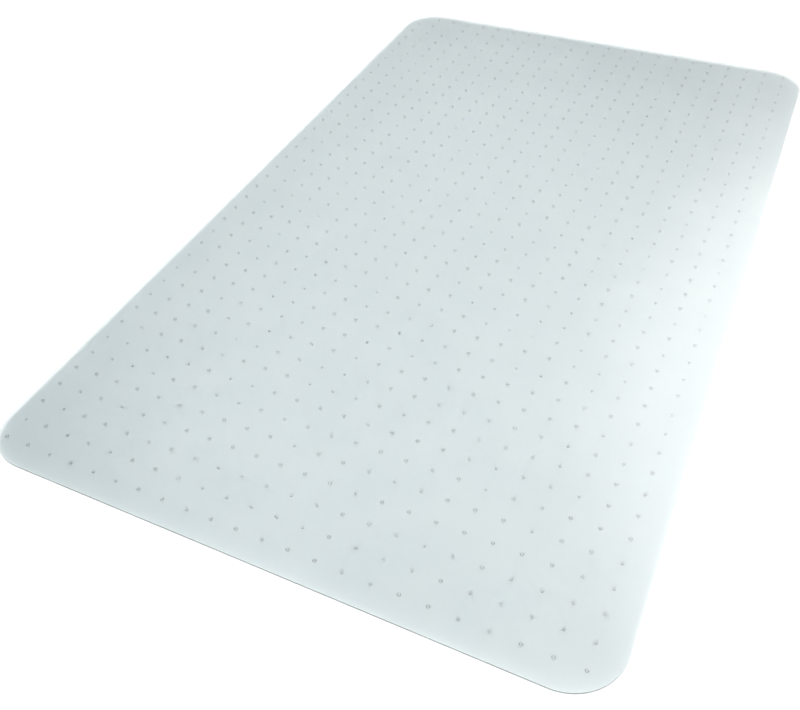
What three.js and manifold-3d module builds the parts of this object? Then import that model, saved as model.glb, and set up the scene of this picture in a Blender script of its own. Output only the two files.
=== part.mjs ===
// A clear plastic chair mat: a thin flat sheet with rounded corners, which lies on a carpet
// on a square grid of small grip studs moulded into its underside.
//
// Frame: millimetres, +X across the width, +Y along the length towards the back edge, +Z up.
// The origin is on the floor, under the middle of the mat: the stud tips stand at z = 0.

import * as THREE from "three";
import { mergeVertices } from "three/addons/utils/BufferGeometryUtils.js";
import Module from "manifold-3d";

const wasm = await Module();
wasm.setup();

// Sheet
const MAT_WIDTH = 700;
const MAT_LENGTH = 1200;
const SHEET_THICKNESS = 2;
const CORNER_RADIUS = 57;
const RIM_BEVEL = 0.5; // softened top edge, all round
const CORNER_STEPS = 14; // straight pieces in each rounded corner

// Studs: tapered, with a flat tip
const STUD_HEIGHT = 3.5; // from the sheet's underside to the floor
const STUD_ROOT_WIDTH = 4.2;
const STUD_TIP_WIDTH = 1.8;
const STUD_PITCH = 29.6; // from stud to stud, both ways
const FIRST_COLUMN_INSET = 18.5; // from the left edge to the first stud of a row
const FIRST_ROW_INSET = 29.5; // from the front edge to the first row
const LEAST_STUD_INSET = 6; // a stud nearer to the edge than this is left out

// Root strip: joins the studs of one row, flush in a groove under the sheet
const STRIP_DEPTH = 0.6;
const STRIP_LIP = 1; // how far the strip reaches past a stud's root, all round
const GROOVE_CLEARANCE = 0.3; // between the strip's sides and the groove's

// Places that follow from the sizes above
const UNDERSIDE_Z = STUD_HEIGHT;
const TOP_Z = STUD_HEIGHT + SHEET_THICKNESS;
const STRIP_WIDTH = STUD_ROOT_WIDTH + 2 * STRIP_LIP;
const CUT_OVERSHOOT = 1; // how far a cutting block reaches past what it cuts away

// ---- materials ----

function clearSheetPlastic() {
  return new THREE.MeshStandardMaterial({
    color: 0xdfe6e8,
    roughness: 0.15,
    metalness: 0,
    transparent: true,
    opacity: 0.35,
  });
}

function clearStudPlastic() {
  return new THREE.MeshStandardMaterial({
    color: 0xd3dcdf,
    roughness: 0.2,
    metalness: 0,
    transparent: true,
    opacity: 0.45,
  });
}

// ---- solids ----

// A closed three.js geometry as a manifold-3d solid.
function solidFrom(geometry) {
  const bare = geometry.clone();
  bare.deleteAttribute("normal");
  bare.deleteAttribute("uv");
  const merged = mergeVertices(bare, 1e-4);
  const mesh = new wasm.Mesh({
    numProp: 3,
    vertProperties: merged.attributes.position.array,
    triVerts: new Uint32Array(merged.index.array),
  });
  return new wasm.Manifold(mesh);
}

// A manifold-3d solid as a three.js geometry.
function geometryFrom(solid) {
  const mesh = solid.getMesh();
  const geometry = new THREE.BufferGeometry();
  geometry.setAttribute("position", new THREE.BufferAttribute(mesh.vertProperties, 3));
  geometry.setIndex(new THREE.BufferAttribute(mesh.triVerts, 1));
  geometry.computeVertexNormals();
  return geometry;
}

// A solid block between two corners.
function block(low, high) {
  const size = high.clone().sub(low);
  const box = new THREE.BoxGeometry(size.x, size.y, size.z);
  const middle = low.clone().add(high).multiplyScalar(0.5);
  box.translate(middle.x, middle.y, middle.z);
  return solidFrom(box);
}

// ---- where the studs stand ----

// How far a point of the sheet is from its nearest edge, rounded corners included.
function insetFromEdge(x, y) {
  const pastX = Math.abs(x) - (MAT_WIDTH / 2 - CORNER_RADIUS);
  const pastY = Math.abs(y) - (MAT_LENGTH / 2 - CORNER_RADIUS);
  const inCorner = Math.hypot(Math.max(pastX, 0), Math.max(pastY, 0));
  return CORNER_RADIUS - inCorner - Math.min(Math.max(pastX, pastY), 0);
}

// Centres along one direction: from the first inset on, one pitch apart, as far as the sheet goes.
function centresAlong(extent, firstInset) {
  const centres = [];
  for (let inset = firstInset; inset <= extent - LEAST_STUD_INSET; inset += STUD_PITCH) {
    centres.push(inset - extent / 2);
  }
  return centres;
}

// The X places of the studs that one row has room for.
function studsOfRow(y) {
  const columns = centresAlong(MAT_WIDTH, FIRST_COLUMN_INSET);
  return columns.filter((x) => insetFromEdge(x, y) >= LEAST_STUD_INSET);
}

// ---- the sheet ----

// The mat's outline, drawn in from its edge by a given amount.
function sheetOutline(inset) {
  const halfWidth = MAT_WIDTH / 2 - inset;
  const halfLength = MAT_LENGTH / 2 - inset;
  const radius = CORNER_RADIUS - inset;
  const outline = new THREE.Shape();
  outline.moveTo(radius - halfWidth, -halfLength);
  outline.absarc(halfWidth - radius, radius - halfLength, radius, -Math.PI / 2, 0);
  outline.absarc(halfWidth - radius, halfLength - radius, radius, 0, Math.PI / 2);
  outline.absarc(radius - halfWidth, halfLength - radius, radius, Math.PI / 2, Math.PI);
  outline.absarc(radius - halfWidth, radius - halfLength, radius, Math.PI, 1.5 * Math.PI);
  return outline;
}

// The slab with its bevelled top edge. The extrusion bevels both its faces, so it is made
// deeper than the sheet, and its lower bevel is cut away with the surplus.
function sheetSlab() {
  const slab = new THREE.ExtrudeGeometry(sheetOutline(RIM_BEVEL), {
    depth: SHEET_THICKNESS,
    curveSegments: CORNER_STEPS,
    bevelEnabled: true,
    bevelSegments: 1,
    bevelThickness: RIM_BEVEL,
    bevelSize: RIM_BEVEL,
  });
  slab.translate(0, 0, TOP_Z - RIM_BEVEL - SHEET_THICKNESS);
  const surplusDepth = 2 * RIM_BEVEL + CUT_OVERSHOOT;
  const surplusLow = new THREE.Vector3(-MAT_WIDTH, -MAT_LENGTH, UNDERSIDE_Z - surplusDepth);
  const surplusHigh = new THREE.Vector3(MAT_WIDTH, MAT_LENGTH, UNDERSIDE_Z);
  return solidFrom(slab).subtract(block(surplusLow, surplusHigh));
}

// The groove that takes one row's root strip.
function grooveCutter(y, studs) {
  const reach = STRIP_WIDTH / 2 + GROOVE_CLEARANCE;
  const low = new THREE.Vector3(studs[0] - reach, y - reach, UNDERSIDE_Z - CUT_OVERSHOOT);
  const high = new THREE.Vector3(studs.at(-1) + reach, y + reach, UNDERSIDE_Z + STRIP_DEPTH);
  return block(low, high);
}

function matSheet(rows) {
  let sheet = sheetSlab();
  for (const row of rows) {
    sheet = sheet.subtract(grooveCutter(row.y, row.studs));
  }
  const mesh = new THREE.Mesh(geometryFrom(sheet), clearSheetPlastic());
  mesh.name = "mat_sheet";
  return mesh;
}

// ---- the studs ----

// How wide a stud is at a height: its tip on the floor, its root at the sheet's underside.
function studWidthAt(z) {
  return STUD_TIP_WIDTH + ((STUD_ROOT_WIDTH - STUD_TIP_WIDTH) * z) / STUD_HEIGHT;
}

// One stud: a square block drawn in to its tip, which reaches halfway up into the root strip.
function stud(x, y) {
  const height = STUD_HEIGHT + STRIP_DEPTH / 2;
  const taper = new THREE.BoxGeometry(1, 1, height);
  taper.translate(0, 0, height / 2);
  const corners = taper.attributes.position;
  for (let i = 0; i < corners.count; i += 1) {
    const width = studWidthAt(corners.getZ(i));
    corners.setX(i, x + corners.getX(i) * width);
    corners.setY(i, y + corners.getY(i) * width);
  }
  return solidFrom(taper);
}

function studRow(name, y, studs) {
  const reach = STRIP_WIDTH / 2;
  const stripLow = new THREE.Vector3(studs[0] - reach, y - reach, UNDERSIDE_Z);
  const stripHigh = new THREE.Vector3(studs.at(-1) + reach, y + reach, UNDERSIDE_Z + STRIP_DEPTH);
  let row = block(stripLow, stripHigh);
  for (const x of studs) {
    row = row.add(stud(x, y));
  }
  const mesh = new THREE.Mesh(geometryFrom(row), clearStudPlastic());
  mesh.name = name;
  return mesh;
}

// ---- the mat ----

const rows = centresAlong(MAT_LENGTH, FIRST_ROW_INSET).map((y) => ({ y, studs: studsOfRow(y) }));

const mat = new THREE.Group();
mat.add(matSheet(rows));
rows.forEach((row, index) => {
  const number = String(index + 1).padStart(2, "0");
  mat.add(studRow(`stud_row_${number}`, row.y, row.studs));
});

export default mat;
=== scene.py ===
# %% [markdown]
# # A clear chair mat on moulded studs
#
# The object is one thin sheet of clear plastic, as long as a desk is wide, with rounded corners.
# Hundreds of small tapered studs stand out of its underside, and they grip the carpet below it.
# The CAD model already fixes every size. This script gives it its looks: a sheet with a softened
# rim, round studs, a clear plastic that bends and tints light, and a bright soft studio.

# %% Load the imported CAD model
import math

import bpy
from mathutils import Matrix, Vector


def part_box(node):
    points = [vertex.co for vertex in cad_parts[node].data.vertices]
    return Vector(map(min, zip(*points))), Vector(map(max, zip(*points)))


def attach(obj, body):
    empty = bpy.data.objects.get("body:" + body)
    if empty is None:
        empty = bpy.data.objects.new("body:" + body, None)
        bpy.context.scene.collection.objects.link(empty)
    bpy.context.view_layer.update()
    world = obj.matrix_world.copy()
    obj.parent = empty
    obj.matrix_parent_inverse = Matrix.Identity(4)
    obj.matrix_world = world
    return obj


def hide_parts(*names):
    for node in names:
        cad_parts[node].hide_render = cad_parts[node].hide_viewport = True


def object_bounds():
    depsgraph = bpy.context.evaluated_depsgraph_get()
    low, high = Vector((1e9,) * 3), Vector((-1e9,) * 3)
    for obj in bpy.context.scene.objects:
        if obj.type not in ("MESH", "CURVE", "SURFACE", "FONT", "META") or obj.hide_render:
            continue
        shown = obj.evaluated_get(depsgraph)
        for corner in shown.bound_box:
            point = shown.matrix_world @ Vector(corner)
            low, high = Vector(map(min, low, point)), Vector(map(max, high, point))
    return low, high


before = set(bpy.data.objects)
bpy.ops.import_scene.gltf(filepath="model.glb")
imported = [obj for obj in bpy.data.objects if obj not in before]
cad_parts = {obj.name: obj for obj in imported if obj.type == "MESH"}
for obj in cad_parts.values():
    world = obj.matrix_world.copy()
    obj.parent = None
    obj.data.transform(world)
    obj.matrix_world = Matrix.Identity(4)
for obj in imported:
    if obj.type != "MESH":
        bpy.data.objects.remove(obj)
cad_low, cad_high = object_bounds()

MM = 0.001
print("CAD box, millimetres:", [round(side / MM, 1) for side in cad_high - cad_low])

# %% [markdown]
# Blender's operators act on whatever is selected, and the loaded CAD nodes come in selected.
# A few small helpers keep the steps below short. One clears the selection, and one moves a new
# object's place into its mesh, so that the object itself stays at the origin as the CAD nodes
# do. One picks edges by a test on their end points, which replaces clicking on them.

# %% Helpers for modelling by hand


def deselect_everything():
    for item in bpy.context.selected_objects:
        item.select_set(False)


def work_on(piece):
    deselect_everything()
    piece.select_set(True)
    bpy.context.view_layer.objects.active = piece


def settle_place_into_mesh(piece):
    work_on(piece)
    bpy.ops.object.transform_apply(location=True, rotation=True, scale=True)


def select_edges(piece, wanted):
    """In object mode: selects the edges whose two end points pass the test."""
    bpy.context.tool_settings.mesh_select_mode = (False, True, False)
    mesh = piece.data
    for vertex in mesh.vertices:
        vertex.select = False
    for face in mesh.polygons:
        face.select = False
    for edge in mesh.edges:
        start, end = (mesh.vertices[i].co for i in edge.vertices)
        edge.select = wanted(start, end)


def bevel_selected_edges(width, segments):
    bpy.ops.object.mode_set(mode="EDIT")
    bpy.ops.mesh.bevel(offset=width, segments=segments, profile=0.5)
    bpy.ops.object.mode_set(mode="OBJECT")


def count_faces(piece):
    return len(piece.data.polygons)


# %% [markdown]
# ## The sheet
#
# The real sheet is cut from a wide roll of clear plastic with a blade that follows the outline.
# In Blender the outline could be drawn as a curve and given a depth. Starting from a box is
# quicker here: its four upright edges are bevelled with many segments, and a bevel with a
# profile of 0.5 is a true arc, so each becomes a rounded corner.

# %% Start from a box of the sheet's size
SHEET_NODE = "mat_sheet"
sheet_low, sheet_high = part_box(SHEET_NODE)
sheet_middle = (sheet_low + sheet_high) / 2
sheet_size = sheet_high - sheet_low

deselect_everything()
bpy.ops.mesh.primitive_cube_add(size=1, location=sheet_middle, scale=sheet_size)
sheet = bpy.context.object
sheet.name = "clear_sheet"
settle_place_into_mesh(sheet)
print("the sheet starts as a box of", [round(side / MM, 1) for side in sheet_size], "mm")

# %% Round the four corners
CORNER_RADIUS = 57 * MM
CORNER_SEGMENTS = 28


def is_upright(start, end):
    return abs(start.z - end.z) > sheet_size.z / 2


select_edges(sheet, is_upright)
bevel_selected_edges(CORNER_RADIUS, CORNER_SEGMENTS)
print("corners rounded:", count_faces(sheet), "faces")

# %% [markdown]
# A bare cut edge would be sharp enough to scratch, so the maker softens the upper one. On clear
# plastic this small round matters a lot to the eye: it gathers light into a thin bright line
# along the edge. The lower edge keeps only the tiny round that a blade leaves.
#
# Smooth shading has a trap here. It averages the normals of neighbouring faces, so the wide top
# would shade as if it were domed. The Weighted Normal modifier lets the largest face decide,
# and this keeps the top truly flat, while the small rounds still shade smoothly.

# %% Soften the upper and lower edges
TOP_ROUND = 0.5 * MM
BOTTOM_ROUND = 0.15 * MM
ROUND_SEGMENTS = 4
EDGE_SMOOTHING = math.radians(40)
SAME_HEIGHT = 0.001 * MM


def rim_at(height):
    def on_rim(start, end):
        return abs(start.z - height) < SAME_HEIGHT and abs(end.z - height) < SAME_HEIGHT

    return on_rim


for height, radius in ((sheet_high.z, TOP_ROUND), (sheet_low.z, BOTTOM_ROUND)):
    select_edges(sheet, rim_at(height))
    bevel_selected_edges(radius, ROUND_SEGMENTS)
work_on(sheet)
bpy.ops.object.shade_smooth_by_angle(angle=EDGE_SMOOTHING)
flatten = sheet.modifiers.new("flat_top", "WEIGHTED_NORMAL")
flatten.mode = "FACE_AREA"
flatten.keep_sharp = True
bpy.ops.object.modifier_apply(modifier=flatten.name)
print("rim softened:", count_faces(sheet), "faces")

# %% [markdown]
# ## The stud grid
#
# The CAD model holds the studs row by row, each row as one node, joined by a thin strip inside
# the sheet. The strip isn't something you could see on the real mat. So the grid is read from
# the CAD boxes here, and the strip's reach past the outer studs is taken off.

# %% Read the grid from the CAD rows
row_nodes = sorted(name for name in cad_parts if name.startswith("stud_row"))
row_boxes = [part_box(name) for name in row_nodes]
row_places = [(low.y + high.y) / 2 for low, high in row_boxes]
stud_pitch = (row_places[-1] - row_places[0]) / (len(row_places) - 1)
strip_reach = (row_boxes[0][1].y - row_boxes[0][0].y) / 2
stud_height = sheet_low.z
print(len(row_nodes), "rows,", round(stud_pitch / MM, 2), "mm apart")

# %% [markdown]
# ## One stud
#
# A real stud is a tiny blunt cone, about as tall as the carpet pile that it pushes into. It is
# modelled from a cone primitive with a small flat tip, and the tip's edge is rounded, because a
# mould never fills a sharp corner. More than nine hundred copies follow, so it gets only a few
# dozen faces.
#
# The stud stops a hair below the sheet. If two clear surfaces lay exactly on each other, the
# renderer couldn't tell which one a ray meets first, and dark specks would appear.

# %% Model the stud at the origin
STUD_ROOT_RADIUS = 2.1 * MM
STUD_TIP_RADIUS = 0.9 * MM
STUD_TIP_ROUND = 0.35 * MM
TIP_ROUND_SEGMENTS = 2
STUD_SIDES = 14
HAIR_GAP = 0.02 * MM
STUD_SMOOTHING = math.radians(50)

cone_height = stud_height - HAIR_GAP
deselect_everything()
bpy.ops.mesh.primitive_cone_add(
    vertices=STUD_SIDES,
    radius1=STUD_TIP_RADIUS,
    radius2=STUD_ROOT_RADIUS,
    depth=cone_height,
    location=(0, 0, cone_height / 2),
)
stud = bpy.context.object
settle_place_into_mesh(stud)
select_edges(stud, lambda start, end: max(start.z, end.z) < cone_height / 2)
bevel_selected_edges(STUD_TIP_ROUND, TIP_ROUND_SEGMENTS)
bpy.ops.object.shade_smooth_by_angle(angle=STUD_SMOOTHING)
print("one stud has", count_faces(stud), "faces")

# %% [markdown]
# ## The rows
#
# Each row starts as a copy of the stud, with a mesh of its own, at the row's first place. An
# Array modifier then repeats it across the mat, as often as the CAD row has studs. Placing all
# the copies in one loop would work too, but the Array shows how a regular row is usually made,
# and once it is applied the row is a plain mesh. At the end the loose first stud is deleted.

# %% Repeat the stud into rows


def add_row(name, low, high, place):
    first = low.x + strip_reach
    last = high.x - strip_reach
    row = stud.copy()
    row.data = stud.data.copy()
    row.name = name
    bpy.context.collection.objects.link(row)
    row.location = (first, place, 0)
    settle_place_into_mesh(row)
    array = row.modifiers.new("studs", "ARRAY")
    array.use_relative_offset = False
    array.use_constant_offset = True
    array.constant_offset_displace = (stud_pitch, 0, 0)
    array.count = round((last - first) / stud_pitch) + 1
    bpy.ops.object.modifier_apply(modifier=array.name)
    return row


stud_rows = []
for node, (low, high), place in zip(row_nodes, row_boxes, row_places):
    row_number = node[-2:]
    stud_rows.append(add_row("studs_" + row_number, low, high, place))
work_on(stud)
bpy.ops.object.delete()
print(len(stud_rows), "rows of studs,", sum(map(count_faces, stud_rows)), "faces in all")

# %% [markdown]
# ## Clear plastic
#
# Clear plastic does three things to light. It bends it, which the index of refraction sets. It
# reflects a little of it, sharply at the surface and softly from the fine satin texture on top,
# which the coat layer adds. And it swallows a little on the way through, more of the red than
# of the blue, so light that travels far inside it comes out cooler and darker. A base colour
# could tint the surface instead, but only absorption inside the body grows with the distance
# that light travels, and that is what darkens the sheet's edges.
#
# All of these are the same everywhere, so they are set straight on the shader's sockets.

# %% Helpers for clear plastic
PLASTIC_IOR = 1.5
COAT_ROUGHNESS = 0.3


def clear_plastic(name):
    material = bpy.data.materials.new(name)
    material.use_nodes = True
    shader = material.node_tree.nodes["Principled BSDF"]
    shader.inputs["IOR"].default_value = PLASTIC_IOR
    shader.inputs["Transmission Weight"].default_value = 1
    shader.inputs["Coat Weight"].default_value = 1
    shader.inputs["Coat Roughness"].default_value = COAT_ROUGHNESS
    return material


def tint_the_body(material, colour, density):
    nodes = material.node_tree.nodes
    tint = nodes.new("ShaderNodeVolumeAbsorption")
    tint.inputs["Color"].default_value = colour
    tint.inputs["Density"].default_value = density
    output = nodes["Material Output"]
    material.node_tree.links.new(tint.outputs["Volume"], output.inputs["Volume"])


# %% [markdown]
# A perfectly even sheet looks like computer glass. Real sheet shows three faint patterns, each
# at its own scale. Soft clouds, a few centimetres wide, come from haze in the plastic and from
# handling: one noise varies the colour and a finer one the roughness. A fine grain of about a
# millimetre is rolled into the top, so that castors don't squeak. And the whole sheet is never
# quite flat, which bends reflections a little.
#
# All of them are noise textures on Object coordinates, which are metres here, so a noise scale
# of 20 makes patches about a twentieth of a metre wide. A noise pattern stays near its middle
# value most of the time, so its middle part is spread over the range that is wanted.

# %% Helpers for surface patterns
NOISE_LOW = 0.3
NOISE_HIGH = 0.7


def add_noise(material, scale, detail):
    """A noise pattern in the piece's own metres. It gives a value around one half."""
    nodes = material.node_tree.nodes
    place = nodes.new("ShaderNodeTexCoord")
    noise = nodes.new("ShaderNodeTexNoise")
    noise.inputs["Scale"].default_value = scale
    noise.inputs["Detail"].default_value = detail
    material.node_tree.links.new(place.outputs["Object"], noise.inputs["Vector"])
    return noise.outputs["Fac"]


def stretch_to(material, value, low, high):
    """Spreads the middle of a noise pattern over the range from low to high."""
    spread = material.node_tree.nodes.new("ShaderNodeMapRange")
    spread.inputs["From Min"].default_value = NOISE_LOW
    spread.inputs["From Max"].default_value = NOISE_HIGH
    spread.inputs["To Min"].default_value = low
    spread.inputs["To Max"].default_value = high
    material.node_tree.links.new(value, spread.inputs["Value"])
    return spread.outputs["Result"]


def mix_colours(material, amount, first, second):
    mix = material.node_tree.nodes.new("ShaderNodeMix")
    mix.data_type = "RGBA"
    mix.inputs["A"].default_value = first
    mix.inputs["B"].default_value = second
    material.node_tree.links.new(amount, mix.inputs["Factor"])
    return mix.outputs["Result"]


def add_bump(material, height, depth, under=None):
    """Turns a pattern into relief of the given depth. Another relief can lie under it."""
    bump = material.node_tree.nodes.new("ShaderNodeBump")
    bump.inputs["Strength"].default_value = 1
    bump.inputs["Distance"].default_value = depth
    material.node_tree.links.new(height, bump.inputs["Height"])
    if under is not None:
        material.node_tree.links.new(under, bump.inputs["Normal"])
    return bump.outputs["Normal"]


def plug_into_shader(material, output, socket):
    shader = material.node_tree.nodes["Principled BSDF"]
    material.node_tree.links.new(output, shader.inputs[socket])


# %% Finish of the sheet
TINT_COLOUR = (0.731, 0.804, 0.82, 1)
TINT_DENSITY = 400
CLEAREST = (1.0, 1.0, 1.0, 1)
HAZIEST = (0.972, 0.98, 0.985, 1)
CLOUD_SCALE = 16
HAZE_SCALE = 45
HAZE_ROUGHNESS = (0.02, 0.09)
GRAIN_SCALE = 700
GRAIN_DEPTH = 0.003 * MM
WAVE_SCALE = 7
WAVE_DEPTH = 0.4 * MM

sheet_plastic = clear_plastic("clear_sheet_plastic")
tint_the_body(sheet_plastic, TINT_COLOUR, TINT_DENSITY)
clouds = stretch_to(sheet_plastic, add_noise(sheet_plastic, CLOUD_SCALE, detail=5), 0, 1)
haze_pattern = add_noise(sheet_plastic, HAZE_SCALE, detail=3)
haze = stretch_to(sheet_plastic, haze_pattern, *HAZE_ROUGHNESS)
waves = add_bump(sheet_plastic, add_noise(sheet_plastic, WAVE_SCALE, detail=0), WAVE_DEPTH)
grain = add_noise(sheet_plastic, GRAIN_SCALE, detail=2)
plug_into_shader(sheet_plastic, mix_colours(sheet_plastic, clouds, CLEAREST, HAZIEST), "Base Color")
plug_into_shader(sheet_plastic, haze, "Roughness")
plug_into_shader(sheet_plastic, add_bump(sheet_plastic, grain, GRAIN_DEPTH, waves), "Normal")
sheet.data.materials.append(sheet_plastic)
print("sheet plastic:", len(sheet_plastic.node_tree.nodes), "nodes")

# %% [markdown]
# The studs are the same plastic, but they come out of small holes in the roller, which are
# never polished. Their skin is satin, so they show through the sheet as faint soft marks, and
# not as sharp glints.
#
# A real stud grows out of the sheet with no surface between them. Here the hair gap adds two
# surfaces, and each of them bends and dims the light. To make up for that, the studs bend light
# less than the sheet does, have no coat, and go without the tint.

# %% Finish of the studs
STUD_IOR = 1.18
SATIN_ROUGHNESS = (0.2, 0.35)
STUD_GRAIN_SCALE = 1500
STUD_GRAIN_DEPTH = 0.004 * MM

stud_plastic = clear_plastic("clear_stud_plastic")
stud_shader = stud_plastic.node_tree.nodes["Principled BSDF"]
stud_shader.inputs["IOR"].default_value = STUD_IOR
stud_shader.inputs["Coat Weight"].default_value = 0
satin_pattern = add_noise(stud_plastic, CLOUD_SCALE, detail=3)
satin = stretch_to(stud_plastic, satin_pattern, *SATIN_ROUGHNESS)
skin = add_noise(stud_plastic, STUD_GRAIN_SCALE, detail=2)
plug_into_shader(stud_plastic, satin, "Roughness")
plug_into_shader(stud_plastic, add_bump(stud_plastic, skin, STUD_GRAIN_DEPTH), "Normal")
for row in stud_rows:
    row.data.materials.append(stud_plastic)
print("stud plastic:", len(stud_plastic.node_tree.nodes), "nodes on", len(stud_rows), "rows")

# %% [markdown]
# ## The floor
#
# A clear object takes most of its look from what lies under it. A white matt floor keeps the
# mat light and shows its own faint tint. The floor is wide enough to reach the horizon, and a
# faint paper grain keeps it from being a dead flat white. It lies a hair below the stud tips,
# for the same reason as the gap above the studs.

# %% Lay a white matt floor
FLOOR_SIZE = 30
FLOOR_WHITE = (0.9, 0.9, 0.9, 1)
FLOOR_SHADE = (0.88, 0.88, 0.88, 1)
PAPER_ROUGHNESS = 0.9
PAPER_GLOSS = 0.1
PAPER_SCALE = 250
PAPER_DEPTH = 0.02 * MM

deselect_everything()
bpy.ops.mesh.primitive_plane_add(size=FLOOR_SIZE, location=(0, 0, cad_low.z - HAIR_GAP))
floor = bpy.context.object
floor.name = "studio_floor"
white_paper = bpy.data.materials.new("white_paper")
white_paper.use_nodes = True
paper_shader = white_paper.node_tree.nodes["Principled BSDF"]
paper_shader.inputs["Roughness"].default_value = PAPER_ROUGHNESS
paper_shader.inputs["Specular IOR Level"].default_value = PAPER_GLOSS
fibres = add_noise(white_paper, PAPER_SCALE, detail=3)
plug_into_shader(white_paper, mix_colours(white_paper, fibres, FLOOR_WHITE, FLOOR_SHADE), "Base Color")
plug_into_shader(white_paper, add_bump(white_paper, fibres, PAPER_DEPTH), "Normal")
floor.data.materials.append(white_paper)
print("the floor is", FLOOR_SIZE, "m wide")

# %% [markdown]
# ## The light
#
# Clear plastic shows what is behind it and what it reflects, so the light is laid out by what
# the sheet mirrors. Seen from the front right, its left corner mirrors the room on the far left,
# and its right edge mirrors the room straight behind it. So the light behind and to the right is
# strong and a little warm, which turns the right side of the sheet nearly white, and it falls
# off towards the left, which leaves that corner a cool grey. The far end mirrors the lower edge
# of those boxes, where they fade out, so it is greyer too. A fill light behind the camera isn't
# mirrored at all: it brightens the floor and washes out the shadow under the front edge. A pale
# glow along the horizon is there for views from low down, which mirror the room near the floor.
#
# Area lamps could do the same, but their edges would show in the sheet as straight lines.
# Patches painted on the world fade out softly.

# %% Paint soft patches of light on the world
WHITE = (1, 1, 1, 1)
WARM_WHITE = (1.0, 0.94, 0.85, 1)
CREAM_WHITE = (1.0, 0.95, 0.92, 1)

# Azimuth and elevation of the middle, angles from it where the fading starts and ends (all in
# degrees), strength and colour. The last patch is centred straight down.
LIGHT_PATCHES = {
    "overhead tent": (0, 90, 25, 65, 0.75, WHITE),
    "fill behind the camera": (180, 50, 5, 60, 2.8, WHITE),
    "large soft box behind right": (30, 45, 2, 40, 1.0, WARM_WHITE),
    "its bright middle": (16, 42, 2, 22, 2.2, CREAM_WHITE),
    "wide card behind": (-12, 50, 14, 34, 0.95, WHITE),
    "small card behind left": (-32, 38, 8, 26, 0.55, WHITE),
    "glow along the horizon": (0, -90, 88, 115, 0.9, WHITE),
}

world = bpy.data.worlds.new("studio_dome")
world.use_nodes = True
bpy.context.scene.world = world
dome = world.node_tree
dome_direction = dome.nodes.new("ShaderNodeTexCoord").outputs["Generated"]


def direction(azimuth, elevation):
    """A unit vector: azimuth 0 is towards +Y and positive towards +X, both in degrees."""
    a = math.radians(azimuth)
    e = math.radians(elevation)
    return Vector((math.sin(a) * math.cos(e), math.cos(a) * math.cos(e), math.sin(e)))


def light_patch(name, azimuth, elevation, core, edge, strength, colour):
    """A Background shader that is bright around one direction and fades to nothing."""
    nearness = dome.nodes.new("ShaderNodeVectorMath")
    nearness.operation = "DOT_PRODUCT"
    nearness.inputs[1].default_value = direction(azimuth, elevation)
    dome.links.new(dome_direction, nearness.inputs[0])
    fade = dome.nodes.new("ShaderNodeMapRange")
    fade.interpolation_type = "SMOOTHERSTEP"
    fade.inputs["From Min"].default_value = math.cos(math.radians(edge))
    fade.inputs["From Max"].default_value = math.cos(math.radians(core))
    fade.inputs["To Min"].default_value = 0
    fade.inputs["To Max"].default_value = strength
    dome.links.new(nearness.outputs["Value"], fade.inputs["Value"])
    patch = dome.nodes.new("ShaderNodeBackground")
    patch.label = name
    patch.inputs["Color"].default_value = colour
    dome.links.new(fade.outputs["Result"], patch.inputs["Strength"])
    return patch.outputs["Background"]


def add_shaders(first, second):
    both = dome.nodes.new("ShaderNodeAddShader")
    dome.links.new(first, both.inputs[0])
    dome.links.new(second, both.inputs[1])
    return both.outputs["Shader"]


darkness = dome.nodes["Background"]
darkness.inputs["Strength"].default_value = 0
light = darkness.outputs["Background"]
for name, settings in LIGHT_PATCHES.items():
    light = add_shaders(light, light_patch(name, *settings))
print("the dome has", len(LIGHT_PATCHES), "soft patches of light")

# %% [markdown]
# Behind the floor's far edge the camera would see those patches of light. A studio hangs a pale
# paper backdrop there. Here the world shows a plain pale grey to rays that come straight from
# the camera, and keeps its light for all the others.

# %% Hang a pale backdrop
BACKDROP_GREY = (0.9, 0.9, 0.9, 1)

backdrop = dome.nodes.new("ShaderNodeBackground")
backdrop.inputs["Color"].default_value = BACKDROP_GREY
choice = dome.nodes.new("ShaderNodeMixShader")
straight_from_camera = dome.nodes.new("ShaderNodeLightPath").outputs["Is Camera Ray"]
dome.links.new(straight_from_camera, choice.inputs["Fac"])
dome.links.new(light, choice.inputs[1])
dome.links.new(backdrop.outputs["Background"], choice.inputs[2])
dome.links.new(choice.outputs["Shader"], dome.nodes["World Output"].inputs["Surface"])
print("the backdrop is on: the dome has", len(dome.nodes), "nodes")

# %% [markdown]
# ## The camera
#
# The camera stands in front of the mat's right corner, at the height of a table, and looks down
# and to the left, so that the long sheet runs away diagonally. The lens is a little wider than
# a normal one, so the camera can stand close, which makes the far end clearly narrower than the
# near end. The Standard view transform keeps the floor a clean white, where the default one
# would turn it grey.

# %% Set up the camera
CAMERA_PLACE = (0.3396, -0.9754, 0.7462)
CAMERA_TURN = (46.059, 2.05, 25.833)
LENS = 40.843
SIDE_SHIFT = 0.0356
NEAREST_SEEN = 0.01

lens = bpy.data.cameras.new("camera")
camera = bpy.data.objects.new("camera", lens)
bpy.context.scene.collection.objects.link(camera)
camera.location = CAMERA_PLACE
camera.rotation_euler = [math.radians(angle) for angle in CAMERA_TURN]
lens.lens = LENS
lens.shift_x = SIDE_SHIFT
lens.clip_start = NEAREST_SEEN
bpy.context.scene.camera = camera
bpy.context.scene.view_settings.view_transform = "Standard"
print("the camera is", round((camera.location - sheet_middle).length, 2), "m from the mat's middle")

# %% [markdown]
# ## Hand over
#
# Nothing moves on a chair mat, so every piece rides on the one body. The sheet takes the place
# of its CAD node and each row of studs the place of its own, and those CAD nodes are hidden.

# %% Put the pieces on the body and hide their CAD nodes
BODY = "root"

for piece, node in zip([sheet] + stud_rows, [SHEET_NODE] + row_nodes):
    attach(piece, BODY)
    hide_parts(node)
